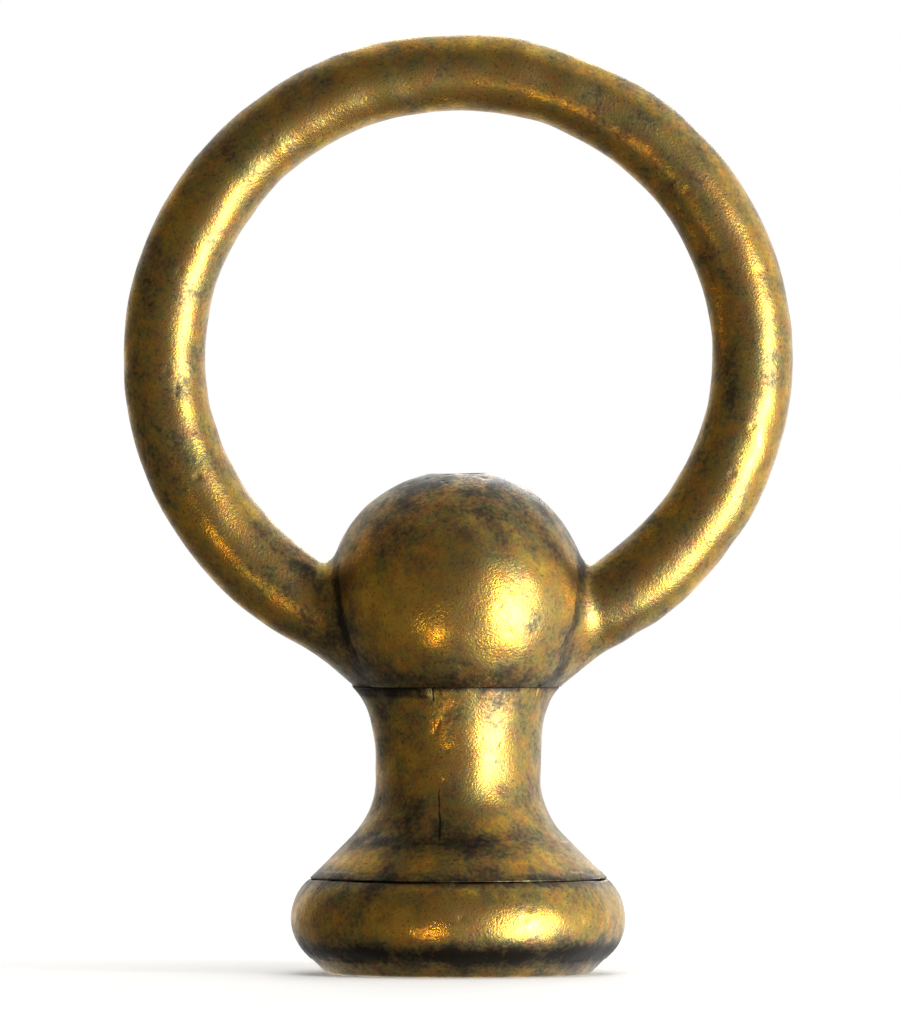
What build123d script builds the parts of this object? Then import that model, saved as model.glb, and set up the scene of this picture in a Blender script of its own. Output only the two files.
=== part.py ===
"""A brass hanging loop for a lamp: a ring brazed to a ball, on a waisted neck and a round foot.

Ball, neck and foot are drawn together by one hollow nipple, which carries the load and the wires.
Millimetres. +Z runs up the stem from the middle of the foot's underside. The ring lies in the XZ plane.
"""

from build123d import *
from math import asin, cos, degrees, hypot, radians, sin, sqrt, tan
import os

# Pipe thread, modelled plain: an open hole at the thread's minor radius, engaged threads at mid-depth.
thread_major_radius = 4.85
thread_depth = 0.5
thread_lead_in = 0.5
stem_thread_length = 4.8
nipple_wall = 1.2
nipple_in_ball = 7.4
nipple_end_break = 0.3
tap_run_out = 1.0

# Foot: a round bead that the loop stands on, with a tapped hub that rises into the neck.
foot_height = 6.75
bead_radius = 11.88
bead_centre_height = 3.9
bead_under_radius = 3.4
bead_under_turn = 46.0
bead_upper_fall = 1.33
hub_wall = 1.4
hub_rise = 2.4

# Neck: a waisted sleeve between the foot and the ball. A fine groove parts it from the bead.
neck_length = 13.65
rim_step = 0.2
rim_height = 0.2
skirt_slope = 45.0
cove_radius = 6.0
waist_wall = 0.82
waist_straight = 1.1
seat_step = 0.4
groove_depth = 0.3
groove_half_width = 0.1

# Ball: bored and tapped from below, with a smaller hole through its crown for the wires.
ball_radius = 9.3
seat_angle = 48.8
wire_hole_radius = 2.2
wire_hole_break = 0.12
drill_point_angle = 118.0

# Ring: a slightly oval hoop of round rod that thickens towards its two feet on the ball.
ring_half_width = 20.9
ring_half_height = 20.28
ring_entry_angle = 5.5
rod_radius_top = 2.73
rod_radius_side = 2.88
rod_radius_foot = 2.97
braze_gap = 0.6
braze_radius = 1.0
tenon_radius = 1.75
socket_cover = 1.1

# Clearances between the pieces.
sleeve_clearance = 0.15
hub_clearance = 0.1
hub_end_clearance = 0.2
tenon_clearance = 0.05
tenon_end_clearance = 0.25

# Radii that follow from what fits in what.
thread_minor_radius = thread_major_radius - thread_depth
thread_mid_radius = thread_major_radius - thread_depth / 2
nipple_bore_radius = thread_mid_radius - nipple_wall
hub_radius = thread_mid_radius + hub_wall
sleeve_bore_radius = thread_major_radius + sleeve_clearance
waist_radius = sleeve_bore_radius + waist_wall
bead_end_radius = bead_radius - bead_upper_fall
rim_radius = bead_end_radius - rim_step
groove_radius = rim_radius - groove_depth
seat_radius = ball_radius * sin(radians(seat_angle))
neck_top_radius = seat_radius - seat_step

# Heights that follow from the stack. The turn is from the ring's lowest point to where it enters the ball.
hub_top = foot_height + hub_rise
neck_top = foot_height + neck_length
nipple_top = neck_top + nipple_in_ball
ball_centre = neck_top + ball_radius * cos(radians(seat_angle))
ring_entry_x = ball_radius * cos(radians(ring_entry_angle))
ring_entry_z = ball_centre - ball_radius * sin(radians(ring_entry_angle))
ring_entry_turn = asin(ring_entry_x / ring_half_width)
ring_centre = ring_entry_z + ring_half_height * cos(ring_entry_turn)


def turned(edges):
    """The solid that a closed half outline in the XZ plane sweeps out round the Z axis."""
    outline = Wire(Curve() + edges)
    return revolve(make_face(outline.edges()), Axis.Z)


def rod(radius, low, high):
    """A round bar on the Z axis between two heights."""
    bar = Cylinder(radius, high - low, align=(Align.CENTER, Align.CENTER, Align.MIN))
    return Pos(0, 0, low) * bar


def funnel(low_radius, high_radius, low, high):
    """A cone on the Z axis between two heights."""
    cone = Cone(low_radius, high_radius, high - low, align=(Align.CENTER, Align.CENTER, Align.MIN))
    return Pos(0, 0, low) * cone


def make_foot():
    """The bead is two arcs that meet upright at its widest point, with a slope down to the flat under it."""
    turn = radians(bead_under_turn)
    under_x = bead_radius - bead_under_radius * (1 - cos(turn))
    under_z = bead_centre_height - bead_under_radius * sin(turn)
    flat_edge = (under_x - under_z * tan(turn), 0, 0)
    widest = (bead_radius, 0, bead_centre_height)
    bead_end = (bead_end_radius, 0, foot_height - groove_half_width)
    under_arc = TangentArc(widest, (under_x, 0, under_z), tangent=(0, 0, -1))
    upper_arc = TangentArc(widest, bead_end, tangent=(0, 0, 1))
    rest = Polyline(
        bead_end,
        (groove_radius, 0, foot_height),
        (hub_radius, 0, foot_height),
        (hub_radius, 0, hub_top),
        (0, 0, hub_top),
        (0, 0, 0),
        flat_edge,
        (under_x, 0, under_z),
    )
    body = turned([under_arc, upper_arc, rest])
    body -= rod(thread_minor_radius, 0, hub_top)
    body -= rod(thread_mid_radius, stem_thread_length, hub_top)
    return body - funnel(thread_minor_radius + thread_lead_in, thread_minor_radius, 0, thread_lead_in)


def make_neck():
    """A skirt and a cove rise to the waist, then the wall opens out again to the seat under the ball."""
    slope = radians(skirt_slope)
    cove_end_x = waist_radius + cove_radius * (1 - cos(slope))
    groove_top = foot_height + groove_half_width
    skirt_foot_z = groove_top + rim_height
    cove_end_z = skirt_foot_z + (rim_radius - cove_end_x) * tan(slope)
    waist_low = cove_end_z + cove_radius * sin(slope)
    waist_high = waist_low + waist_straight
    top_edge = (neck_top_radius, 0, neck_top)
    cove = TangentArc((waist_radius, 0, waist_low), (cove_end_x, 0, cove_end_z), tangent=(0, 0, -1))
    waist = Line((waist_radius, 0, waist_low), (waist_radius, 0, waist_high))
    flare = TangentArc((waist_radius, 0, waist_high), top_edge, tangent=(0, 0, 1))
    rest = Polyline(
        (cove_end_x, 0, cove_end_z),
        (rim_radius, 0, skirt_foot_z),
        (rim_radius, 0, groove_top),
        (groove_radius, 0, foot_height),
        (0, 0, foot_height),
        (0, 0, neck_top),
        top_edge,
    )
    body = turned([cove, waist, flare, rest])
    body -= rod(sleeve_bore_radius, foot_height, neck_top)
    return body - rod(hub_radius + hub_clearance, foot_height, hub_top + hub_end_clearance)


def ball_blank(extra=0.0):
    """The whole ball as a sphere, larger all round by extra, its seam turned away from the ring's plane."""
    return Pos(0, 0, ball_centre) * Rot(0, 0, 90) * Sphere(ball_radius + extra)


def ring_end(side):
    """The plane square to the ring's centreline where it meets the ball, facing into the ball."""
    along_x = ring_half_width * cos(ring_entry_turn)
    along_z = ring_half_height * sin(ring_entry_turn)
    step = hypot(along_x, along_z)
    return Plane(
        origin=(side * ring_entry_x, 0, ring_entry_z),
        x_dir=(0, 1, 0),
        z_dir=(-side * along_x / step, 0, -along_z / step),
    )


def socket_depth():
    """How deep the ring's sockets go, so that their inner corners leave the cover over the nipple's bore."""
    end = ring_end(1)
    corner = (tenon_radius + tenon_clearance) * -end.z_dir.Z
    return (end.origin.X - corner - thread_mid_radius - socket_cover) / -end.z_dir.X


def tenons(radius, length):
    """Two bars that run on from the ring's ends into the ball."""
    bars = []
    for side in (1, -1):
        start = ring_end(side).offset(-rod_radius_foot)
        bars.append(extrude(start * Circle(radius), rod_radius_foot + length))
    return bars


def make_hoop():
    """The rod swept round the oval between two points inside the ball, thinnest at the top."""
    turn = degrees(ring_entry_turn) / 2
    facing = Plane(origin=(0, 0, ring_centre), x_dir=(1, 0, 0), z_dir=(0, -1, 0))
    oval = EllipticalCenterArc(
        (0, 0), ring_half_width, ring_half_height, start_angle=turn - 90, arc_size=360 - 2 * turn
    )
    centreline = facing * oval
    radii = {
        0: rod_radius_foot,
        0.25: rod_radius_side,
        0.5: rod_radius_top,
        0.75: rod_radius_side,
        1: rod_radius_foot,
    }
    sections = []
    for share, radius in radii.items():
        across = Plane(origin=centreline @ share, z_dir=centreline % share, x_dir=(0, 1, 0))
        sections.append(across * Circle(radius))
    return sweep(sections, path=centreline, multisection=True)


def make_ring(hoop):
    """The hoop is coped to the ball with a gap for the braze, and each end keeps a tenon."""
    return (hoop - ball_blank(braze_gap)) + tenons(tenon_radius, socket_depth() - tenon_end_clearance)


def make_brazes(hoop, ring):
    """The braze metal that fills the gaps between the ring's ends and the ball, and the corners round them."""
    joined = hoop + ball_blank()
    centre = Vector(0, 0, ball_centre)

    def on_the_ball(edge):
        return all(abs((edge @ share - centre).length - ball_radius) < 0.01 for share in (0.2, 0.5, 0.8))

    corners = [edge for edge in joined.edges() if on_the_ball(edge) and edge.geom_type != GeomType.CIRCLE]
    metal = fillet(corners, braze_radius) - ball_blank() - ring
    return metal.solids().sort_by(Axis.X)


def make_ball():
    """A sphere cut off at its seat, tapped for the nipple, with the wire hole through the crown."""
    nipple_end = neck_top + nipple_in_ball + tap_run_out
    cone_rise = (thread_mid_radius - wire_hole_radius) / tan(radians(drill_point_angle / 2))
    crown = ball_centre + ball_radius
    rim = wire_hole_radius + wire_hole_break
    rim_height = ball_centre + sqrt(ball_radius**2 - rim**2)
    body = ball_blank() - rod(ball_radius, ball_centre - ball_radius, neck_top)
    body -= rod(rim, rim_height, crown)
    body -= rod(thread_mid_radius, neck_top, nipple_end)
    body -= funnel(thread_mid_radius, wire_hole_radius, nipple_end, nipple_end + cone_rise)
    body -= rod(wire_hole_radius, nipple_end, crown)
    body -= funnel(wire_hole_radius, rim, rim_height - wire_hole_break, rim_height)
    return body - tenons(tenon_radius + tenon_clearance, socket_depth())


def make_nipple():
    """A hollow threaded pipe from the foot's hub, through the neck, into the ball."""
    body = rod(thread_mid_radius, stem_thread_length, nipple_top)
    body -= rod(nipple_bore_radius, stem_thread_length, nipple_top)
    outer_ends = body.edges().filter_by(GeomType.CIRCLE).group_by(SortBy.RADIUS)[-1]
    return chamfer(outer_ends, nipple_end_break)


hoop = make_hoop()
ring = make_ring(hoop)
braze_left, braze_right = make_brazes(hoop, ring)
parts = {
    "foot": make_foot(),
    "neck": make_neck(),
    "ball": make_ball(),
    "nipple": make_nipple(),
    "ring": ring,
    "braze_left": braze_left,
    "braze_right": braze_right,
}

os.makedirs("parts", exist_ok=True)
for name, shape in parts.items():
    export_step(shape, f"parts/{name}.step")
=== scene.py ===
"""The looks of a brass hanging loop for a lamp, piece by piece in the order it is put together.

Sizes are in millimetres until a mesh is made, and every mesh is in metres in the part's own frame.
"""

import bpy
import numpy as np
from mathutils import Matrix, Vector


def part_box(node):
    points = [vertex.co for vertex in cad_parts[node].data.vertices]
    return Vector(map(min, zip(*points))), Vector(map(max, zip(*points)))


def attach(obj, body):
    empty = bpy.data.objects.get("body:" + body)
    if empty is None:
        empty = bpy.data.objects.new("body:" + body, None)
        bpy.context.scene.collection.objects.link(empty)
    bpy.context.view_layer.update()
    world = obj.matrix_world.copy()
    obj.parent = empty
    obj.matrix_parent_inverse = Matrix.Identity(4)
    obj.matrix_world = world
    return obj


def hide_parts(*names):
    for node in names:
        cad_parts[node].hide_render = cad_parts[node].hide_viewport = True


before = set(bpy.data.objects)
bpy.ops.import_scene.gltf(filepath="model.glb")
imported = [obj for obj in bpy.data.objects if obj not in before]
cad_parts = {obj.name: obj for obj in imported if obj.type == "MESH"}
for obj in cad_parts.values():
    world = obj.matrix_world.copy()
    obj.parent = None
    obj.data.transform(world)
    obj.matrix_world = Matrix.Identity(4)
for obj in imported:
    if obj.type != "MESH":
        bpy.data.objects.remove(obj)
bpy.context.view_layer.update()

# ---------------------------------------------------------------------------------------------------------
# Nipple: a hollow brass pipe with a fine thread cut along its whole length.
# It screws into the foot's hub below and the ball above, with the neck held between them, and it stays
# out of sight: only its lower end shows, up the hole in the foot. Its bore is the way for the wires.
# ---------------------------------------------------------------------------------------------------------

METRES = 0.001
THREAD_PITCH = 25.4 / 27
THREAD_ROOT = 4.35
THREAD_CREST = 4.85
THREAD_STEEPNESS = 1.3
NIPPLE_BORE = 3.4
NIPPLE_END_RADIUS = 4.3
NIPPLE_COLUMNS = 144


def heights(node):
    """A node's lowest and highest point, in millimetres."""
    low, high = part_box(node)
    return low.z / METRES, high.z / METRES


def ramp_up(value):
    """0 below 0, 1 above 1, and 3v² - 2v³ between."""
    value = np.clip(value, 0, 1)
    return value * value * (3 - 2 * value)


def thread(height, turn, slack=0.0):
    """A right-hand thread's radius: a triangle wave of height in pitches less turns, its tips cut flat."""
    phase = (height / THREAD_PITCH - turn / (2 * np.pi)) % 1.0
    flank = 1 - np.abs(2 * phase - 1)
    depth = np.clip(THREAD_STEEPNESS * flank - (THREAD_STEEPNESS - 1) / 2, 0, 1)
    return THREAD_ROOT + slack + (THREAD_CREST - THREAD_ROOT) * depth


def outline(*corners, step):
    """Points about a step apart along the straight lines from corner to corner, without the last corner."""
    corners = np.array(corners, float)
    runs = []
    for start, end in zip(corners[:-1], corners[1:]):
        count = max(1, round(np.hypot(*(end - start)) / step))
        runs.append(start + (end - start) * np.arange(count)[:, None] / count)
    return np.concatenate(runs)


def once_round(columns):
    """That many angles, evenly spaced once round."""
    return np.linspace(0, 2 * np.pi, columns, endpoint=False)


def turned(profile, turns):
    """The radii and heights of a half outline at every turn: a row for each point, a column for a turn."""
    return np.repeat(profile[:, :1], len(turns), 1), np.repeat(profile[:, 1:], len(turns), 1)


def spun(radius, height, turns):
    """Points at a radius and height on each turn round the Z axis: x = r cos t, y = r sin t."""
    return np.stack([radius * np.cos(turns), radius * np.sin(turns), height], -1)


def closed_cells(rows, columns):
    """The corners of each cell of a grid that closes on itself both ways, like the skin of a tyre."""
    row, column = np.meshgrid(np.arange(rows), np.arange(columns), indexing="ij")
    next_row, next_column = (row + 1) % rows, (column + 1) % columns
    corners = [row * columns + column, row * columns + next_column]
    corners += [next_row * columns + next_column, next_row * columns + column]
    return np.stack(corners, -1).reshape(-1, 4)


def make_piece(name, points, *faces):
    """A smooth mesh object from points in millimetres, and an array of faces for each number of corners."""
    mesh = bpy.data.meshes.new(name)
    points = np.asarray(points, float).reshape(-1, 3)
    sides = np.concatenate([np.full(len(array), array.shape[1]) for array in faces])
    mesh.vertices.add(len(points))
    mesh.vertices.foreach_set("co", (points * METRES).ravel())
    mesh.loops.add(int(sides.sum()))
    mesh.loops.foreach_set("vertex_index", np.concatenate([array.ravel() for array in faces]))
    mesh.polygons.add(len(sides))
    mesh.polygons.foreach_set("loop_start", np.cumsum(sides) - sides)
    mesh.polygons.foreach_set("use_smooth", np.ones(len(sides), bool))
    mesh.update(calc_edges=True)
    piece = bpy.data.objects.new(name, mesh)
    bpy.context.scene.collection.objects.link(piece)
    return piece


def finish_piece(piece, node, material):
    """Gives a piece its material, lets it ride on the root body, and hides the CAD node that it stands for.
    """
    piece.data.materials.append(material)
    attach(piece, "root")
    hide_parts(node)


def linear(colour):
    """Linear RGBA from an sRGB hex colour."""
    srgb = np.array([int(colour[start : start + 2], 16) for start in (0, 2, 4)]) / 255
    return (*np.where(srgb <= 0.04045, srgb / 12.92, ((srgb + 0.055) / 1.055) ** 2.4), 1.0)


def add_node(tree, kind, inputs=None, stops=None, **settings):
    """Adds a node. An input is a value or an output to link; stops are a ramp's places and values."""
    node = tree.nodes.new(kind)
    for name, value in settings.items():
        setattr(node, name, value)
    for name, value in (inputs or {}).items():
        if isinstance(value, bpy.types.NodeSocket):
            tree.links.new(value, node.inputs[name])
        else:
            node.inputs[name].default_value = value
    for index, (place, value) in enumerate(stops or ()):
        marks = node.color_ramp.elements
        mark = marks[index] if index < 2 else marks.new(place)
        mark.position = place
        mark.color = linear(value) if isinstance(value, str) else (value, value, value, 1)
    return node


def cut_brass(name):
    """Machined yellow brass, dulled in the dark of the stem: fine turning marks and a thin brown film."""
    material = bpy.data.materials.new(name)
    material.use_nodes = True
    tree = material.node_tree
    shader = tree.nodes["Principled BSDF"]
    place = add_node(tree, "ShaderNodeTexCoord").outputs["Object"]
    # Film in patches about 2 mm across; turning marks 0.125 mm apart up the pipe and 0.006 mm deep.
    film = add_node(tree, "ShaderNodeTexNoise", {"Vector": place, "Scale": 500, "Detail": 4})
    colour = add_node(
        tree,
        "ShaderNodeValToRGB",
        {0: film.outputs["Fac"]},
        stops=[(0.3, "c9a55c"), (0.7, "80622f")],
    )
    squeezed = add_node(tree, "ShaderNodeMapping", {"Vector": place, "Scale": (150, 150, 8000)})
    marks = add_node(tree, "ShaderNodeTexNoise", {"Vector": squeezed.outputs[0], "Scale": 1})
    bump = add_node(
        tree, "ShaderNodeBump", {"Height": marks.outputs["Fac"], "Distance": 0.006 * METRES}
    )
    shader.inputs["Metallic"].default_value = 1.0
    shader.inputs["Roughness"].default_value = 0.33
    tree.links.new(colour.outputs[0], shader.inputs["Base Color"])
    tree.links.new(bump.outputs[0], shader.inputs["Normal"])
    return material


nipple_low, nipple_high = heights("nipple")
turns = once_round(NIPPLE_COLUMNS)
profile = np.concatenate(
    [
        outline((THREAD_CREST, nipple_low), (THREAD_CREST, nipple_high), step=THREAD_PITCH / 10),
        outline((NIPPLE_END_RADIUS, nipple_high), (NIPPLE_BORE, nipple_high), step=0.2),
        outline((NIPPLE_BORE, nipple_high), (NIPPLE_BORE, nipple_low), step=2.0),
        outline((NIPPLE_BORE, nipple_low), (NIPPLE_END_RADIUS, nipple_low), step=0.2),
    ]
)
radius, height = turned(profile, turns)
# The thread runs out in a small slope at both ends, so that the pipe starts easily in its holes.
from_end = np.minimum(height - nipple_low, nipple_high - height)
threaded = np.minimum(thread(height, turns), NIPPLE_END_RADIUS + from_end)
radius = np.where(radius > NIPPLE_END_RADIUS + 0.01, threaded, radius)
nipple = make_piece("threaded_nipple", spun(radius, height, turns), closed_cells(*radius.shape))
finish_piece(nipple, "nipple", cut_brass("machined_brass_thread"))

# ---------------------------------------------------------------------------------------------------------
# Foot: a cast brass bead, turned flat underneath and tapped for lamp pipe.
# Its plain hub rises into the neck. The bead is the part that hands hold, so its belly is rubbed golden,
# while a fine groove over it is darkened with dirt and painted shade,
# and the slope under it, which faces down, with painted shade.
# ---------------------------------------------------------------------------------------------------------

FOOT_BEAD_RADIUS = 11.88
FOOT_BEAD_CENTRE = 3.9
FOOT_UNDER_RADIUS = 3.4
FOOT_UNDER_TURN = np.radians(46)
FOOT_BEAD_END = 10.6
FOOT_GROOVE_RADIUS = 10.5
FOOT_HUB_RADIUS = 6.0
FOOT_BELLY_HEIGHT = 4.4
FOOT_SLOPE_HEIGHT = 1.6
FOOT_GROOVE_GAP = 0.04
THREAD_SLACK = 0.03
THREAD_LEAD_IN = 0.1
SKIN_FADE = 0.3
FOOT_STEP = 0.12
FOOT_COLUMNS = 400


def bell(value, middle, width):
    """A bell curve: 1 at the middle, and 0.37 at a width to either side of it."""
    return np.exp(-(((value - middle) / width) ** 2))


def arc(start, heading, end, step):
    """Points about a step apart on the arc that leaves start along heading and ends at end, without the end.

    The radius is chord² over twice the chord's share across the heading, and the turn is twice its angle.
    """
    start, heading, end = (np.array(value, float) for value in (start, heading, end))
    heading /= np.hypot(*heading)
    across = np.array([-heading[1], heading[0]])
    chord = end - start
    radius = chord @ chord / (2 * (chord @ across))
    turn = 2 * np.arctan2(chord @ across, chord @ heading)
    count = max(2, round(abs(radius * turn) / step))
    angle = turn * np.arange(count)[:, None] / count
    spoke = -across * radius
    return start + across * radius + spoke * np.cos(angle) + heading * radius * np.sin(angle)


def eased(profile, passes):
    """A closed outline with its corners rounded: a half of each point and a quarter of each neighbour."""
    for _ in range(passes):
        profile = (np.roll(profile, 1, 0) + 2 * profile + np.roll(profile, -1, 0)) / 4
    return profile


def outward(points):
    """The outward direction at each point of a closed grid: along a row crossed with along a column."""
    along = np.roll(points, -1, 1) - np.roll(points, 1, 1)
    up = np.roll(points, -1, 0) - np.roll(points, 1, 0)
    normal = np.cross(along, up)
    return normal / np.maximum(np.linalg.norm(normal, axis=-1, keepdims=True), 1e-9)


def swell(points, length, seed):
    """A smooth random height of about 1: twenty sine waves of about one length in random directions."""
    rng = np.random.default_rng(seed)
    waves = rng.normal(size=(20, 3))
    waves /= np.linalg.norm(waves, axis=1, keepdims=True) * length * rng.uniform(0.7, 1.5, (20, 1))
    return np.sin(2 * np.pi * (points @ waves.T) + rng.uniform(0, 2 * np.pi, 20)).sum(-1) / np.sqrt(10)


def pitting(points, where, count, seed):
    """Depths of small round pits: bell curves 0.1 to 0.3 mm wide round random points of the skin."""
    rng = np.random.default_rng(seed)
    skin = points[where > 0.5]
    depth = np.zeros(points.shape[:-1])
    for centre in skin[rng.integers(0, len(skin), count)]:
        width, deep = rng.uniform(0.1, 0.3), rng.uniform(0.02, 0.06)
        depth += deep * np.exp(-((points - centre) ** 2).sum(-1) / width**2)
    return depth


def casting_swell(points):
    """Cast metal under old polish: swells of 0.035 mm every 7 mm and of 0.014 mm every 2.5 mm."""
    return 0.035 * swell(points, 7.0, 11) + 0.014 * swell(points, 2.5, 12)


def cast_skin(points, where, seed, pits):
    """Moves the skin along its outward direction by the casting's swell, less its pits."""
    height = (casting_swell(points) - pitting(points, where, pits, seed)) * where
    return points + outward(points) * height[..., None]


def paint(piece, name, values):
    """Stores one number for each point of a piece, for its material to read."""
    layer = piece.data.attributes.new(name, "FLOAT", "POINT")
    layer.data.foreach_set("value", np.clip(values, 0, 1).ravel().astype(np.float32))


def aged_brass():
    """Cast yellow brass with decades of handling, never lacquered.

    It gives the eye a mottled olive-brown film, gold where hands rub it and where a highlight is painted,
    nearly black where dirt stays and where shade is painted, a sandy grain that breaks the light up into
    sparks, and a pale bloom where the film is seen edge on.
    """
    material = bpy.data.materials.new("aged_cast_brass")
    material.use_nodes = True
    tree = material.node_tree
    shader = tree.nodes["Principled BSDF"]
    place = add_node(tree, "ShaderNodeTexCoord").outputs["Object"]

    def noise(size_mm, detail, seed):
        """A noise pattern with blotches of a size in millimetres."""
        offset = add_node(tree, "ShaderNodeMapping", {"Vector": place, "Location": (seed, 0, 0)})
        pattern = {"Vector": offset.outputs[0], "Scale": 1 / (size_mm * METRES), "Detail": detail}
        return add_node(tree, "ShaderNodeTexNoise", pattern).outputs["Fac"]

    def plus(first, gain, second):
        """first + gain x second, as one node."""
        sum_of = {0: second, 1: gain, 2: first}
        return add_node(tree, "ShaderNodeMath", sum_of, operation="MULTIPLY_ADD").outputs[0]

    # Real sizes: clouds of film 6 mm across, mottling 1.5 mm, sand grain 0.3 mm, and specks 0.2 mm.
    clouds, mottle, grain, specks = noise(6, 3, 0), noise(1.5, 5, 1), noise(0.3, 4, 2), noise(0.2, 1, 3)
    dirt_and_shade = add_node(tree, "ShaderNodeAttribute", attribute_name="dirt_and_shade").outputs["Fac"]
    rub_and_painted_light = add_node(tree, "ShaderNodeAttribute", attribute_name="rub_and_painted_light").outputs["Fac"]
    # Tarnish is 0 on clean gold, about 0.5 on plain skin and 1 in thick dirt or deep painted shade.
    # Rubbing and painted highlights lower it.
    tarnish_and_shade = plus(-0.85, 0.9, clouds)
    tarnish_and_shade = plus(tarnish_and_shade, 1.1, mottle)
    tarnish_and_shade = plus(tarnish_and_shade, 0.75, grain)
    tarnish_and_shade = plus(tarnish_and_shade, 0.55, dirt_and_shade)
    tarnish_and_shade = plus(tarnish_and_shade, -0.3, rub_and_painted_light)
    # The film's colour runs from rubbed gold to near black, so it carries the painted highlights and shade
    # too.
    film = add_node(
        tree,
        "ShaderNodeValToRGB",
        {0: tarnish_and_shade},
        stops=[(0.0, "eab945"), (1.0, "1f180d"), (0.3, "bf9736"), (0.5, "968046"), (0.75, "594d32")],
    )
    green_or_brown = add_node(
        tree,
        "ShaderNodeValToRGB",
        {0: noise(1.1, 4, 4)},
        stops=[(0.38, "abbd88"), (0.62, "cd9c70"), (0.5, "bdb284")],
    )
    tinted = add_node(
        tree,
        "ShaderNodeMix",
        {0: 0.65, 6: film.outputs[0], 7: green_or_brown.outputs[0]},
        data_type="RGBA",
        blend_type="SOFT_LIGHT",
    )
    pinholes = add_node(tree, "ShaderNodeValToRGB", {0: specks}, stops=[(0.27, 0.4), (0.37, 1.0)])
    colour = add_node(
        tree,
        "ShaderNodeMix",
        {0: 1.0, 6: tinted.outputs[2], 7: pinholes.outputs[0]},
        data_type="RGBA",
        blend_type="MULTIPLY",
    )
    dull = add_node(tree, "ShaderNodeMapRange", {"Value": tarnish_and_shade, "To Min": 0.2, "To Max": 0.54})
    relief = plus(plus(0.0, 0.5, grain), 1.0, noise(0.16, 2, 5))
    bump = add_node(tree, "ShaderNodeBump", {"Height": relief, "Distance": 0.025 * METRES, "Strength": 1.0})
    # The pale bloom is a rough clear coat, thinner where the dirt and the painted shade are.
    bloom = add_node(tree, "ShaderNodeMapRange", {"Value": dirt_and_shade, "To Min": 0.8, "To Max": 0.3})
    shader.inputs["Metallic"].default_value = 1.0
    shader.inputs["Coat Roughness"].default_value = 0.5
    tree.links.new(colour.outputs[2], shader.inputs["Base Color"])
    tree.links.new(dull.outputs[0], shader.inputs["Roughness"])
    tree.links.new(bloom.outputs[0], shader.inputs["Coat Weight"])
    tree.links.new(bump.outputs[0], shader.inputs["Normal"])
    return material


aged_cast_brass = aged_brass()
foot_low, foot_high = heights("foot")
neck_low, neck_high = heights("neck")
under_x = FOOT_BEAD_RADIUS - FOOT_UNDER_RADIUS * (1 - np.cos(FOOT_UNDER_TURN))
under_z = FOOT_BEAD_CENTRE - FOOT_UNDER_RADIUS * np.sin(FOOT_UNDER_TURN)
flat_x = under_x - under_z * np.tan(FOOT_UNDER_TURN)
bead_widest = (FOOT_BEAD_RADIUS, FOOT_BEAD_CENTRE)
bead_end = (FOOT_BEAD_END, neck_low - FOOT_GROOVE_GAP)
bead = arc(bead_widest, (0, 1), bead_end, FOOT_STEP)
under_heading = (np.sin(FOOT_UNDER_TURN), np.cos(FOOT_UNDER_TURN))
under = arc((under_x, under_z), under_heading, bead_widest, FOOT_STEP)
profile = np.concatenate(
    [
        outline((flat_x, foot_low), (under_x, under_z), step=FOOT_STEP),
        under,
        bead,
        outline(bead_end, (FOOT_GROOVE_RADIUS, neck_low), step=FOOT_STEP),
        outline((FOOT_GROOVE_RADIUS, neck_low), (FOOT_HUB_RADIUS, neck_low), step=0.35),
        outline((FOOT_HUB_RADIUS, neck_low), (FOOT_HUB_RADIUS, foot_high), step=0.35),
        outline((FOOT_HUB_RADIUS, foot_high), (THREAD_CREST, foot_high), step=0.35),
        outline((THREAD_CREST, foot_high), (THREAD_CREST, foot_low), step=THREAD_PITCH / 12),
        outline((THREAD_CREST, foot_low), (flat_x, foot_low), step=0.25),
    ]
)
profile = eased(profile, 2)
turns = once_round(FOOT_COLUMNS)
radius, height = turned(profile, turns)
# The thread starts in a small chamfer at the flat underside.
tapped = radius < THREAD_CREST + THREAD_LEAD_IN
lead_in = THREAD_CREST + THREAD_LEAD_IN - (height - foot_low)
radius = np.where(tapped, np.maximum(thread(height, turns, THREAD_SLACK), lead_in), radius)
points = spun(radius, height, turns)
outside = (radius > FOOT_GROOVE_RADIUS - 0.1) * ramp_up((height - foot_low) / SKIN_FADE)
points = cast_skin(points, outside, seed=13, pits=70)
foot = make_piece("beaded_foot", points, closed_cells(*radius.shape))
# Dirt and painted shade in the groove, and painted shade on the slope under the bead, which faces down.
paint(foot, "dirt_and_shade", 0.5 * bell(height, neck_low, 0.35) + bell(height, FOOT_SLOPE_HEIGHT, 0.75))
paint(foot, "rub_and_painted_light", bell(height, FOOT_BELLY_HEIGHT, 1.5))
finish_piece(foot, "foot", aged_cast_brass)

# ---------------------------------------------------------------------------------------------------------
# Neck: a waisted brass sleeve, cast and turned, held between foot and ball by the nipple inside it.
# A fine casting seam has opened in front over the skirt. At the left the top edge was never dressed back,
# so it still stands out flush with the ball, and metal has run down both sides from the brazed joints.
# ---------------------------------------------------------------------------------------------------------

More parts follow.
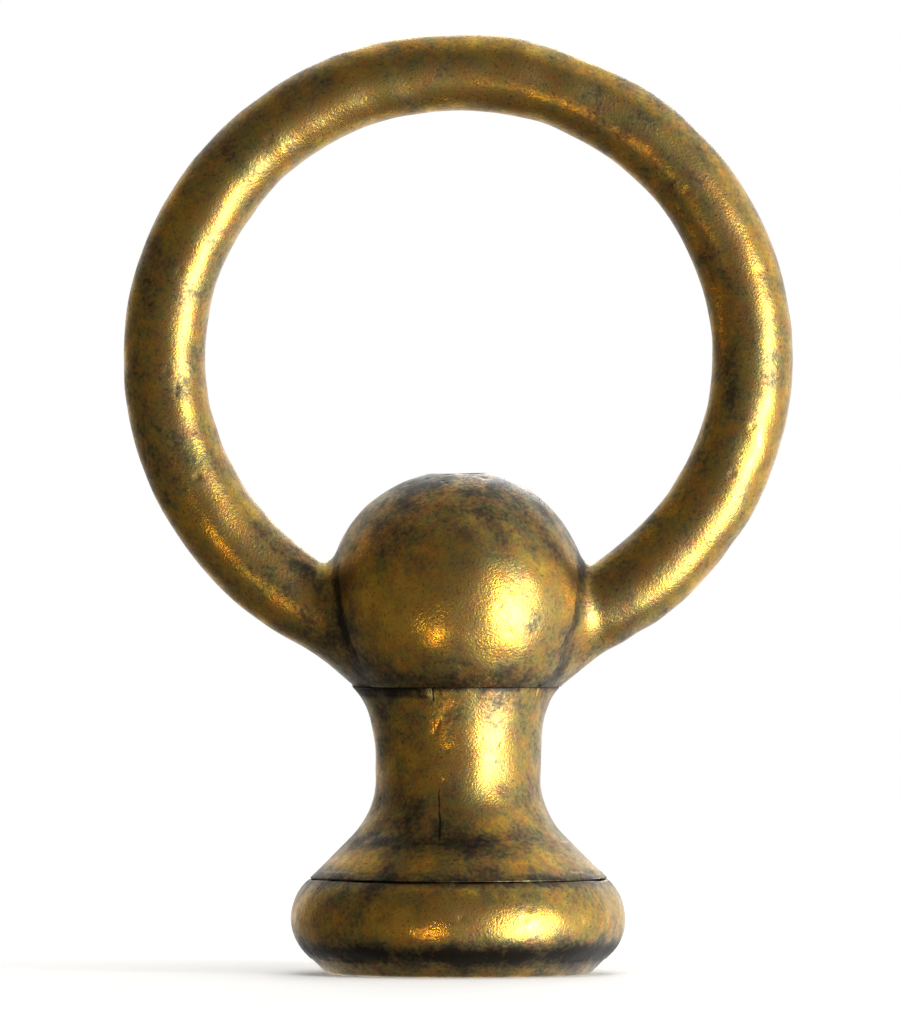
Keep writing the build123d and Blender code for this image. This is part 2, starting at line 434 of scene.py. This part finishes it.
NECK_RIM_RADIUS = 10.54
NECK_RIM_HEIGHT = 0.06
NECK_RIM_TAPER = 0.1
NECK_UNDERSIDE_RADIUS = 10.0
NECK_SKIRT_SLOPE = np.radians(45)
NECK_COVE_RADIUS = 6.0
NECK_WAIST_RADIUS = 5.82
NECK_WAIST_STRAIGHT = 1.1
NECK_TOP_RADIUS = 6.6
NECK_BORE = 5.0
NECK_HUB_BORE = 6.1
NECK_HUB_DEPTH = 2.6
NECK_COVE_HEIGHT = 2.7
NECK_SKIRT_HEIGHT = 1.25
NECK_HELD_HEIGHT = 15.5
NECK_STEP = 0.11
SEAM_LINE_X = -1.35
SEAM_LINE_LOW = 9.3
SEAM_LINE_HIGH = 13.4
SEAM_LINE_WIDTH = 0.055
SEAM_LINE_DEPTH = 0.015
SEAM_FROM_DEGREES = 252
SEAM_TO_DEGREES = 262
UNDRESSED_MIDDLE_DEGREES = 196
UNDRESSED_SPREAD_DEGREES = 57
UNDRESSED_HEIGHT = 0.9
UNDRESSED_STEP = 0.17
EDGE_CRACK_DEPTH = 0.05
NICK_DEGREES = 270 + np.degrees(1.0)
NICK_DEPTH = 0.12
# The run under each side's joint: how far it stands out, its spread in degrees, and the height it fades in.
RUN_DOWN = {-1: (0.95, 26, 1.4), 1: (0.6, 24, 0.8)}

cove_end_x = NECK_WAIST_RADIUS + NECK_COVE_RADIUS * (1 - np.cos(NECK_SKIRT_SLOPE))
skirt_foot_z = neck_low + NECK_RIM_HEIGHT
cove_end_z = skirt_foot_z + (NECK_RIM_RADIUS - cove_end_x) * np.tan(NECK_SKIRT_SLOPE)
waist_low = cove_end_z + NECK_COVE_RADIUS * np.sin(NECK_SKIRT_SLOPE)
waist_high = waist_low + NECK_WAIST_STRAIGHT
cove_heading = (-np.cos(NECK_SKIRT_SLOPE), np.sin(NECK_SKIRT_SLOPE))
cove = arc((cove_end_x, cove_end_z), cove_heading, (NECK_WAIST_RADIUS, waist_low), NECK_STEP)
profile = np.concatenate(
    [
        outline(
            (NECK_RIM_RADIUS - NECK_RIM_TAPER, neck_low),
            (NECK_RIM_RADIUS, skirt_foot_z),
            step=NECK_STEP,
        ),
        outline((NECK_RIM_RADIUS, skirt_foot_z), (cove_end_x, cove_end_z), step=NECK_STEP),
        cove,
        outline((NECK_WAIST_RADIUS, waist_low), (NECK_WAIST_RADIUS, waist_high), step=NECK_STEP),
        arc((NECK_WAIST_RADIUS, waist_high), (0, 1), (NECK_TOP_RADIUS, neck_high), NECK_STEP),
        outline((NECK_TOP_RADIUS, neck_high), (NECK_BORE, neck_high), step=0.3),
        outline((NECK_BORE, neck_high), (NECK_BORE, neck_low + NECK_HUB_DEPTH), step=1.5),
        outline(
            (NECK_BORE, neck_low + NECK_HUB_DEPTH),
            (NECK_HUB_BORE, neck_low + NECK_HUB_DEPTH),
            (NECK_HUB_BORE, neck_low),
            (NECK_RIM_RADIUS - NECK_RIM_TAPER, neck_low),
            step=0.5,
        ),
    ]
)
# The columns stand closer where the open seam is, which is much finer than the rest of the skin.
degrees = np.arange(0, 360, 1.0)
degrees = degrees[(degrees < SEAM_FROM_DEGREES) | (degrees >= SEAM_TO_DEGREES)]
turns = np.radians(np.union1d(degrees, np.arange(SEAM_FROM_DEGREES, SEAM_TO_DEGREES, 0.2)))
radius, height = turned(profile, turns)
points = spun(radius, height, turns)
# The skin is what lies outside the bore and the hub's counterbore, without the top and the underside.
under_skirt = (radius < NECK_UNDERSIDE_RADIUS) & (height < neck_low + NECK_HUB_DEPTH + 0.05)
on_top = (height >= neck_high - 0.02) & (radius <= NECK_TOP_RADIUS - 0.02)
outside = (radius > NECK_BORE + 0.5) & ~under_skirt & ~on_top


def apart(turn, middle):
    """How many degrees each turn is from a middle one, which is in degrees, the short way round."""
    return np.abs((np.degrees(turn) - middle + 180) % 360 - 180)


def run_at(side, turn, height):
    """How far the metal run down from a side's joint stands out: a bell round the neck, fading down it."""
    out, spread, fade = RUN_DOWN[side]
    return out * bell(apart(turn, 90 - 90 * side), 0, spread) * np.exp((height - neck_high) / fade)


# The undressed edge ends in a fine crack, and a nick breaks the edge on the right.
below_seat = neck_high - height
from_middle = apart(turns, UNDRESSED_MIDDLE_DEGREES)
undressed = ramp_up((UNDRESSED_SPREAD_DEGREES - from_middle) / 4)
undressed = undressed * ramp_up((UNDRESSED_HEIGHT - below_seat) / 0.3)
flare = np.maximum(run_at(-1, turns, height), run_at(1, turns, height))
flare = np.maximum(flare, UNDRESSED_STEP * undressed)
crack_at = UNDRESSED_MIDDLE_DEGREES + UNDRESSED_SPREAD_DEGREES + 0.5
edge_crack = bell(apart(turns, crack_at), 0, 0.5) * (below_seat < UNDRESSED_HEIGHT)
nick = bell(apart(turns, NICK_DEGREES), 0, 0.8) * bell(below_seat, 0, 0.8)
# The open seam wanders a little to either side of its line.
wander = 0.03 * np.sin(height * 1.9) + 0.015 * np.sin(height * 5.3)
seam = bell(points[..., 0], SEAM_LINE_X + wander, SEAM_LINE_WIDTH) * (points[..., 1] < 0)
seam *= ramp_up((height - SEAM_LINE_LOW) / 0.9) * ramp_up((SEAM_LINE_HIGH - height) / 0.5)
change = flare - NICK_DEPTH * nick - SEAM_LINE_DEPTH * seam - EDGE_CRACK_DEPTH * edge_crack
points += spun(change * outside, np.zeros_like(height), turns)
points = cast_skin(points, outside * 1.0, seed=14, pits=60)
neck = make_piece("waisted_neck", points, closed_cells(*radius.shape))
# Dirt and painted shade lie in the groove, and dirt in the open seam and the crack.
# Painted shade darkens the cove above the skirt, the top just under the seat, and the undressed edge.
dirt_and_shade = 0.55 * bell(height, neck_low, 0.45) + 0.35 * bell(height, neck_low + NECK_COVE_HEIGHT, 0.7)
dirt_and_shade += 0.6 * bell(below_seat, 0, 0.25) + 1.2 * seam + 0.8 * edge_crack + 0.6 * undressed
paint(neck, "dirt_and_shade", dirt_and_shade)
# A lighter band on the skirt is a painted highlight, and the wide band round the middle is rubbed by hands.
rub_and_painted_light = 0.6 * bell(height, neck_low + NECK_SKIRT_HEIGHT, 0.45) + 0.5 * bell(height, NECK_HELD_HEIGHT, 3.0)
paint(neck, "rub_and_painted_light", rub_and_painted_light)
finish_piece(neck, "neck", aged_cast_brass)

# ---------------------------------------------------------------------------------------------------------
# Ball: cast solid, then drilled through the crown for the wires and tapped from below for the nipple.
# Two sockets in its sides take the ring's tenons. It sits on the neck's top edge and overhangs it a little.
# ---------------------------------------------------------------------------------------------------------

BALL_RADIUS = 9.3
BALL_SEAT_ANGLE = np.radians(48.8)
WIRE_HOLE_RADIUS = 2.2
WIRE_HOLE_BREAK = 0.12
TAP_DEPTH = 8.4
DRILL_POINT = np.radians(59)
SOCKET_RADIUS = 1.95
SOCKET_DEPTH = 2.85
BALL_HELD_HEIGHT = 26.0
BALL_ROWS = 175
BALL_COLUMNS = 340
# The ring is sized here already, because it sets the line of the sockets and where the ball's dirt lies.
RING_HALF_WIDTH = 20.9
RING_HALF_HEIGHT = 20.28
RING_ENTRY_ANGLE = np.radians(5.5)
ROD_RADIUS = 2.867
ROD_SWELL = 0.125
ROD_SIDE_SWELL = -0.0125
ROD_LEFT_EXTRA = 0.03


def rod_radius(turn):
    """The ring's rod radius at a turn: thinnest at the top, thickest at the ends, and fuller on the left."""
    fuller = ROD_LEFT_EXTRA * np.maximum(-np.sin(turn), 0)
    return ROD_RADIUS + ROD_SWELL * np.cos(turn) + ROD_SIDE_SWELL * np.cos(2 * turn) + fuller


def hoop_gap(points):
    """How far points lie outside the ring: the distance to its centreline, less the rod's radius there.

    The nearest turn starts at the ellipse's own angle, and four steps of Newton's method put it right.
    """
    x, y, z = points[..., 0], points[..., 1], points[..., 2] - ring_centre
    turn = np.arctan2(x / RING_HALF_WIDTH, -z / RING_HALF_HEIGHT)
    for _ in range(4):
        off_x, off_z = RING_HALF_WIDTH * np.sin(turn) - x, -RING_HALF_HEIGHT * np.cos(turn) - z
        ahead_x, ahead_z = RING_HALF_WIDTH * np.cos(turn), RING_HALF_HEIGHT * np.sin(turn)
        bend = off_z * RING_HALF_HEIGHT * np.cos(turn) - off_x * RING_HALF_WIDTH * np.sin(turn)
        turn = turn - (off_x * ahead_x + off_z * ahead_z) / (ahead_x**2 + ahead_z**2 + bend)
    off_x, off_z = RING_HALF_WIDTH * np.sin(turn) - x, -RING_HALF_HEIGHT * np.cos(turn) - z
    return np.sqrt(off_x**2 + y**2 + off_z**2) - rod_radius(turn)


ball_centre = neck_high + BALL_RADIUS * np.cos(BALL_SEAT_ANGLE)
seat_radius = BALL_RADIUS * np.sin(BALL_SEAT_ANGLE)
entry_drop = BALL_RADIUS * np.sin(RING_ENTRY_ANGLE)
entry = np.array([BALL_RADIUS * np.cos(RING_ENTRY_ANGLE), 0, ball_centre - entry_drop])
entry_turn = np.arcsin(entry[0] / RING_HALF_WIDTH)
ring_centre = entry[2] + RING_HALF_HEIGHT * np.cos(entry_turn)
inward = -np.array([RING_HALF_WIDTH * np.cos(entry_turn), 0, RING_HALF_HEIGHT * np.sin(entry_turn)])
inward /= np.linalg.norm(inward)

rim_angle = np.arcsin((WIRE_HOLE_RADIUS + WIRE_HOLE_BREAK) / BALL_RADIUS)
rim_z = ball_centre + BALL_RADIUS * np.cos(rim_angle)
angle = np.linspace(BALL_SEAT_ANGLE, np.pi - rim_angle, BALL_ROWS, endpoint=False)
sphere = np.stack([BALL_RADIUS * np.sin(angle), ball_centre - BALL_RADIUS * np.cos(angle)], -1)
tap_top = neck_high + TAP_DEPTH
cone_top = tap_top + (THREAD_CREST - WIRE_HOLE_RADIUS) / np.tan(DRILL_POINT)
profile = np.concatenate(
    [
        sphere,
        outline(
            (WIRE_HOLE_RADIUS + WIRE_HOLE_BREAK, rim_z),
            (WIRE_HOLE_RADIUS, rim_z - WIRE_HOLE_BREAK),
            step=0.06,
        ),
        outline((WIRE_HOLE_RADIUS, rim_z - WIRE_HOLE_BREAK), (WIRE_HOLE_RADIUS, cone_top), step=0.4),
        outline((WIRE_HOLE_RADIUS, cone_top), (THREAD_CREST, tap_top), step=0.3),
        outline((THREAD_CREST, tap_top), (THREAD_CREST, neck_high), step=THREAD_PITCH / 8),
        outline((THREAD_CREST, neck_high), (seat_radius, neck_high), step=0.25),
    ]
)
turns = once_round(BALL_COLUMNS)
radius, height = turned(profile, turns)
tapped = (radius > THREAD_CREST - 0.01) & (radius < THREAD_CREST + 0.01)
radius = np.where(tapped, thread(height, turns, THREAD_SLACK), radius)
points = spun(radius, height, turns)
outside = np.abs(np.linalg.norm(points - (0, 0, ball_centre), axis=-1) - BALL_RADIUS) < 0.01
points = cast_skin(points, outside * ramp_up((height - neck_high) / SKIN_FADE), seed=15, pits=70)
# Each socket is a round patch of the skin, moved in along the tenon's line.
for side in (1, -1):
    mirror = np.array([side, 1, 1])
    offset = points - entry * mirror
    along = offset @ (inward * mirror)
    from_axis = np.linalg.norm(offset - along[..., None] * inward * mirror, axis=-1)
    on_side = outside & (points[..., 0] * side > 0)
    sunk = on_side & (from_axis < SOCKET_RADIUS)
    points[sunk] += inward * mirror * SOCKET_DEPTH
ball = make_piece("bored_ball", points, closed_cells(*radius.shape))
# Painted shade darkens the creases round the joints, the underside over the seat and the top round the wire
# hole. The left front is rubbed gold most, and the gold fades towards the right as painted shade.
to_ring = hoop_gap(points)
dirt_and_shade = 0.6 * bell(to_ring, 1.1, 0.45) + 0.45 * bell(height, neck_high, 1.7) + 0.3 * bell(height, rim_z, 2.5)
paint(ball, "dirt_and_shade", dirt_and_shade)
rub_and_painted_light = bell(height, BALL_HELD_HEIGHT, 3.4) * ramp_up((to_ring - 0.8) / 4.0)
paint(ball, "rub_and_painted_light", rub_and_painted_light * (1.1 - 0.8 * ramp_up((points[..., 0] - 1.5) / 4)))
finish_piece(ball, "ball", aged_cast_brass)

# ---------------------------------------------------------------------------------------------------------
# Ring: a cast hoop of round section, a little oval and a little thicker towards its ends.
# Each end is cut square with a tenon left on it, and the tenons sit in the ball's sockets.
# ---------------------------------------------------------------------------------------------------------

TENON_RADIUS = 1.75
TENON_LENGTH = 2.6
SCRATCH_TURN = 2 * np.pi - 1.447
SCRATCH_ROUND = 2 * np.pi - 1.84
SCRATCH_DEPTH = 0.05
RING_ROWS = 720
RING_COLUMNS = 128
PITS_FROM_END = 0.17


def hoop_line(turn):
    """The hoop's centreline at a turn t from the bottom, x = a sin t, z = c - b cos t, and its heading."""
    zero = np.zeros_like(turn)
    place = [RING_HALF_WIDTH * np.sin(turn), zero, ring_centre - RING_HALF_HEIGHT * np.cos(turn)]
    ahead = np.stack([RING_HALF_WIDTH * np.cos(turn), zero, RING_HALF_HEIGHT * np.sin(turn)], -1)
    return np.stack(place, -1), ahead / np.linalg.norm(ahead, axis=-1, keepdims=True)


def hoop_skin(turn, around):
    """The hoop's skin and its direction from the centreline: outwards at 0, backwards at a quarter turn."""
    place, ahead = hoop_line(turn)
    away = np.stack([ahead[..., 2], np.zeros_like(turn), -ahead[..., 0]], -1)
    back = np.array([0.0, 1.0, 0.0])
    spoke = away * np.cos(around)[..., None] + back * np.sin(around)[..., None]
    return place + spoke * rod_radius(turn)[..., None], spoke


around = once_round(RING_COLUMNS)
turn = np.linspace(entry_turn, 2 * np.pi - entry_turn, RING_ROWS)
turn_grid, around_grid = np.meshgrid(turn, around, indexing="ij")
skin, spoke = hoop_skin(turn_grid, around_grid)
scratch_along = (turn_grid - SCRATCH_TURN) * RING_HALF_WIDTH
scratch_across = (around_grid - SCRATCH_ROUND) * ROD_RADIUS - 0.12 * scratch_along
scratch = bell(scratch_across, 0, 0.07) * np.exp(-((scratch_along / 0.55) ** 4))
relief = casting_swell(skin) - SCRATCH_DEPTH * scratch
# The pits stop where the brazed joints start, about 3.5 mm from each end.
from_end = np.minimum(turn_grid - entry_turn, 2 * np.pi - entry_turn - turn_grid)
pits = pitting(skin, np.ones(skin.shape[:2]), count=120, seed=16)
relief -= pits * ramp_up((from_end - PITS_FROM_END) / 0.04)
skin = skin + spoke * relief[..., None]
# At each end the skin closes to the tenon's root, and runs on along the tenon to a flat tip.
end_rows = []
for side, end_turn in ((1, entry_turn), (-1, 2 * np.pi - entry_turn)):
    _, end_spoke = hoop_skin(np.full_like(around, end_turn), around)
    mirror = np.array([side, 1, 1])
    root = entry * mirror + end_spoke * TENON_RADIUS
    end_rows.append([root + inward * mirror * TENON_LENGTH, root])
rows = np.concatenate([np.array(end_rows[0]), skin, np.array(end_rows[1])[::-1]])
tips = [entry * (side, 1, 1) + inward * (side, 1, 1) * TENON_LENGTH for side in (1, -1)]
row_count, column_count = rows.shape[:2]
cells = closed_cells(row_count, column_count)[: (row_count - 1) * column_count]
first = np.arange(column_count)
first_cap = np.stack([np.roll(first, -1), first, np.full_like(first, rows[..., 0].size)], -1)
last = first + (row_count - 1) * column_count
last_cap = np.stack([last, np.roll(last, -1), np.full_like(last, rows[..., 0].size + 1)], -1)
points = np.concatenate([rows.reshape(-1, 3), np.array(tips)])
ring = make_piece("oval_ring", points, cells, np.concatenate([first_cap, last_cap]))
to_ball = np.linalg.norm(skin - (0, 0, ball_centre), axis=-1) - BALL_RADIUS
# Painted shade darkens the rod near the ball, and dirt lies in the scratch.
skin_dirt_and_shade = 0.6 * bell(np.maximum(to_ball, 0), 0, 0.7) + 0.9 * scratch
skin_rub = (0.2 + 0.3 * np.cos(around_grid) ** 2) * ramp_up((to_ball - 1.0) / 8.0)
# The tenons are hidden, and carry neither dirt, painted shade nor rub.
pad = np.zeros((2, column_count))
ring_dirt_and_shade = np.concatenate([pad, skin_dirt_and_shade, pad]).ravel()
ring_rub = np.concatenate([pad, skin_rub, pad]).ravel()
paint(ring, "dirt_and_shade", np.append(ring_dirt_and_shade, [0, 0]))
paint(ring, "rub_and_painted_light", np.append(ring_rub, [0, 0]))
finish_piece(ring, "ring", aged_cast_brass)

# ---------------------------------------------------------------------------------------------------------
# Brazed joints: brass run in between each end of the ring and the ball, and dressed to a hollow fillet.
# Under the ring the metal has run on down to the seat, more of it on the left; in front it is thin.
# ---------------------------------------------------------------------------------------------------------

BRAZE_REACH_LEFT = {"crotch": 1.3, "front": 0.9, "below": 2.6}
BRAZE_REACH_RIGHT = {"crotch": 1.2, "front": 1.3, "below": 2.2}
BRAZE_REACH_NECK = 0.25
BRAZE_MARGIN = 0.25
BRAZE_RUN_DOWN = 2.4
BRAZE_SUNK = 0.006
BRAZE_ROWS = 34
BRAZE_COLUMNS = 192
NECK_GAP_SLOPE = 1.4
SETTLING_STEPS = 30
SETTLING_SHARE = 0.7


def blended(first, second, reach):
    """The smooth union of two gaps: the smaller, less reach x h² / 4, with h = 1 - |difference| / reach."""
    share = np.maximum(1 - np.abs(first - second) / reach, 0)
    return np.minimum(first, second) - reach * share**2 / 4


def seam_turn(around):
    """The turn where each line along the rod meets the ball, by halving the gap forty times."""
    low = np.full_like(around, entry_turn - 0.3)
    high = np.full_like(around, entry_turn + 0.3)
    for _ in range(40):
        middle = (low + high) / 2
        gap = np.linalg.norm(hoop_skin(middle, around)[0] - (0, 0, ball_centre), axis=-1) - BALL_RADIUS
        low, high = np.where(gap > 0, low, middle), np.where(gap > 0, middle, high)
    return middle


def neck_gap(points, side):
    """How far points lie outside the top of the neck with the metal that has run down that side of it."""
    radius, turn = np.hypot(points[..., 0], points[..., 1]), np.arctan2(points[..., 1], points[..., 0])
    above = np.maximum(points[..., 2] - neck_high, 0)
    return radius - NECK_TOP_RADIUS - run_at(side, turn, neck_high) + NECK_GAP_SLOPE * above


def fillet_grid(side, crotch, front, below):
    """The joint of one side, as closed outlines, one for each angle round the rod.

    Each outline leaves the rod and bends over to the ball, where it lies on the smooth union of the rod, the
    ball and the neck. Then it goes back under the metal over the ball to the tenon and across the rod's end.
    """
    lowness = ((1 + np.cos(joint_around)) / 2) ** 2
    highness = ((1 - np.cos(joint_around)) / 2) ** 2
    reach = below * lowness + crotch * highness + front * (1 - lowness - highness)
    centre = np.array([0, 0, ball_centre])
    start = seam_turn(joint_around)
    corner, spoke = hoop_skin(start, joint_around)
    normal = (corner - centre) / BALL_RADIUS
    # The rod leans over the ball, so the metal reaches further along it where it leans most.
    lean = (hoop_line(start)[1] * normal).sum(-1)
    top, _ = hoop_skin(start + (reach / lean + BRAZE_MARGIN) / RING_HALF_WIDTH, joint_around)
    over = spoke - (spoke * normal).sum(-1, keepdims=True) * normal
    over /= np.linalg.norm(over, axis=-1, keepdims=True)

    def on_ball(distance):
        """Points on the ball at a distance from the corner, away from the rod, and not below the seat."""
        angle = (distance / BALL_RADIUS)[:, None]
        place = centre + BALL_RADIUS * (np.cos(angle) * normal + np.sin(angle) * over)
        place[:, 2] = np.maximum(place[:, 2], neck_high)
        return place

    def gap(points):
        """The gap to the union, for points on the right: the left joint is worked out mirrored."""
        to_ball = np.linalg.norm(points - centre, axis=-1) - BALL_RADIUS
        to_both = blended(hoop_gap(points * (side, 1, 1)), to_ball, reach)
        return blended(to_both, neck_gap(points * (side, 1, 1), side), BRAZE_REACH_NECK)

    spread = reach + BRAZE_MARGIN + BRAZE_RUN_DOWN * lowness
    toe = on_ball(spread)
    share = np.linspace(0, 1, BRAZE_ROWS)[:, None, None]
    skin = (1 - share) ** 2 * top + 2 * share * (1 - share) * corner + share**2 * toe
    at_seat = toe[:, 2] < neck_high + 0.001
    turn = np.arctan2(toe[:, 1], toe[:, 0] * side)
    neck_edge = NECK_TOP_RADIUS + run_at(side, turn, neck_high)
    on_neck = at_seat * ramp_up((neck_edge - seat_radius) / 0.15 + 0.5)
    sunk_in_rod = 1 - ramp_up(share[..., 0] / 0.12)
    sunk_in_ball = (1 - ramp_up((1 - share[..., 0]) / 0.12)) * (1 - on_neck)
    sunk = sunk_in_rod + sunk_in_ball
    nudge = 0.001 * np.eye(3)
    # Each pass moves the skin most of the way down or up its gap's slope.
    for _ in range(SETTLING_STEPS):
        here = gap(skin)
        slope = np.stack([gap(skin + step) - here for step in nudge], -1) / 0.001
        slope /= np.maximum((slope**2).sum(-1, keepdims=True), 0.2)
        want = casting_swell(skin * (side, 1, 1)) - BRAZE_SUNK * sunk
        skin = skin - SETTLING_SHARE * slope * (here - want)[..., None]
        skin[..., 2] = np.maximum(skin[..., 2], neck_high)
        skin[-1, at_seat, 2] = neck_high
    # The hidden rows go back over the ball to the tenon's foot, then out over the rod's end and skin.
    to_tenon = np.arccos(np.clip(((entry - centre) / BALL_RADIUS * normal).sum(-1), -1, 1)) * BALL_RADIUS
    hidden = [on_ball(spread * back) - normal * 0.1 for back in (0.95, 0.7, 0.45, 0.2, 0)]
    hidden += [on_ball(-(to_tenon - TENON_RADIUS) * further) for further in (0.3, 0.6)]
    tenon_foot = entry + spoke * TENON_RADIUS
    rim, _ = hoop_skin(np.full_like(joint_around, entry_turn), joint_around)
    hidden += [tenon_foot + inward * 0.15, tenon_foot - inward * 0.02, rim * 0.98 + tenon_foot * 0.02]
    under_rod = [rim + (top - rim) * part - spoke * 0.1 for part in (0.35, 0.7)]
    return np.concatenate([skin, np.array(hidden), np.array(under_rod)]) * (side, 1, 1)


joint_around = once_round(BRAZE_COLUMNS)
for node, side, reach in (("braze_right", 1, BRAZE_REACH_RIGHT), ("braze_left", -1, BRAZE_REACH_LEFT)):
    points = fillet_grid(side, **reach)
    cells = closed_cells(*points.shape[:2])
    braze = make_piece(node + "_fillet", points, cells if side < 0 else cells[:, ::-1])
    to_ball = np.linalg.norm(points - (0, 0, ball_centre), axis=-1) - BALL_RADIUS
    # Painted shade darkens the fillet where it meets the ball.
    paint(braze, "dirt_and_shade", 0.55 * bell(to_ball, 0, 0.16))
    paint(braze, "rub_and_painted_light", np.zeros(points.shape[:2]))
    finish_piece(braze, node, aged_cast_brass)

# ---------------------------------------------------------------------------------------------------------
# Stage: a pale floor that fades out into a pale surround. A tall white window stands in front at the
# right, with a weak warm lamp at the left, a weak light behind and a soft ceiling. The camera looks square
# on to the ring, level with its middle.
# ---------------------------------------------------------------------------------------------------------

FLOOR_RADIUS = 600.0
FLOOR_SOLID_RADIUS = 260.0
FLOOR_SUNK = 0.01
FLOOR_COLUMNS = 96
VIEW_HEIGHT = 72.8
CAMERA_DISTANCE = 950.0
CAMERA_X = -0.6
CAMERA_Z = 32.8
LIGHT_AIM_Z = 28.0

rings = np.array([0.001, 60, 120, 260, 400, FLOOR_RADIUS])
turns = once_round(FLOOR_COLUMNS)
radius = np.repeat(rings[:, None], len(turns), 1)
points = spun(radius, np.full_like(radius, -FLOOR_SUNK), turns)
cells = closed_cells(len(rings), len(turns))[: (len(rings) - 1) * len(turns)]
floor = make_piece("floor", points, cells[:, ::-1])
paper = bpy.data.materials.new("matt_white_paper")
paper.use_nodes = True
tree = paper.node_tree
shader = tree.nodes["Principled BSDF"]
shader.inputs["Base Color"].default_value = linear("fafafa")
shader.inputs["Emission Color"].default_value = linear("ffffff")
shader.inputs["Emission Strength"].default_value = 0.2
shader.inputs["Roughness"].default_value = 0.9
shader.inputs["Specular IOR Level"].default_value = 0.1
place = add_node(tree, "ShaderNodeTexCoord").outputs["Object"]
distance = add_node(tree, "ShaderNodeVectorMath", {0: place}, operation="LENGTH").outputs["Value"]
fade = add_node(
    tree,
    "ShaderNodeMapRange",
    {
        "Value": distance,
        "From Min": FLOOR_SOLID_RADIUS * METRES,
        "From Max": FLOOR_RADIUS * METRES * 0.97,
        "To Min": 1.0,
        "To Max": 0.0,
    },
    interpolation_type="SMOOTHSTEP",
)
tree.links.new(fade.outputs[0], shader.inputs["Alpha"])
floor.data.materials.append(paper)
floor.visible_shadow = False
floor.visible_glossy = False

world = bpy.data.worlds.new("studio")
bpy.context.scene.world = world
world.use_nodes = True
tree = world.node_tree
direction = add_node(tree, "ShaderNodeTexCoord").outputs["Generated"]
# Bright paper lies behind and to the right, and a dim room in front and to the left.
towards_paper = add_node(
    tree, "ShaderNodeVectorMath", {0: direction, 1: (0.65, 0.8, 0.25)}, operation="DOT_PRODUCT"
)
room = add_node(
    tree,
    "ShaderNodeMapRange",
    {"Value": towards_paper.outputs["Value"], "From Min": -0.2, "From Max": 0.95},
    interpolation_type="SMOOTHSTEP",
)
surround = add_node(
    tree,
    "ShaderNodeMix",
    {0: room.outputs[0], 6: (0.155, 0.14, 0.11, 1), 7: (1.05, 1.05, 1.05, 1)},
    data_type="RGBA",
)
seen = add_node(tree, "ShaderNodeLightPath").outputs["Is Camera Ray"]
shown = add_node(
    tree,
    "ShaderNodeMix",
    {0: seen, 6: surround.outputs[2], 7: (1.0, 1.0, 1.0, 1)},
    data_type="RGBA",
)
tree.links.new(shown.outputs[2], tree.nodes["Background"].inputs["Color"])


def soft_light(name, azimuth, elevation, distance, size, power, colour):
    """A panel that faces the ball from an azimuth (0 is the camera's) and an elevation, in degrees."""
    azimuth, elevation = np.radians(azimuth), np.radians(elevation)
    panel = bpy.data.lights.new(name, "AREA")
    panel.shape = "RECTANGLE"
    panel.size, panel.size_y = size[0] * METRES, size[1] * METRES
    panel.energy, panel.color = power, linear(colour)[:3]
    lamp = bpy.data.objects.new(name, panel)
    bpy.context.scene.collection.objects.link(lamp)
    flat = np.cos(elevation)
    away = np.array([np.sin(azimuth) * flat, -np.cos(azimuth) * flat, np.sin(elevation)])
    lamp.location = (away * distance + (0, 0, LIGHT_AIM_Z)) * METRES
    lamp.rotation_euler = Vector(-away).to_track_quat("-Z", "Y").to_euler()
    lamp.visible_camera = False
    return lamp


soft_light("window_light", 50, -11, 700, (175, 560), 7.4, "fffdf5")
# The sky in the middle of the window is brighter than its sides.
soft_light("window_middle", 50, -11, 690, (70, 230), 2.0, "ffffff")
soft_light("back_light", 175, 25, 700, (250, 300), 0.9, "ffffff")
soft_light("lamp_fill", -20, -27, 500, (35, 35), 0.18, "ffdc98")
ceiling_light = soft_light("ceiling_light", 20, 65, 700, (500, 500), 2.0, "ffffff")
ceiling_light.visible_glossy = False

camera_data = bpy.data.cameras.new("camera")
camera = bpy.data.objects.new("camera", camera_data)
bpy.context.scene.collection.objects.link(camera)
bpy.context.scene.camera = camera
camera_data.lens = camera_data.sensor_width * CAMERA_DISTANCE / VIEW_HEIGHT
camera_data.clip_start, camera_data.clip_end = 0.01, 10
camera.location = (CAMERA_X * METRES, -CAMERA_DISTANCE * METRES, CAMERA_Z * METRES)
camera.rotation_euler = (np.pi / 2, 0, 0)
bpy.context.scene.view_settings.view_transform = "Standard"
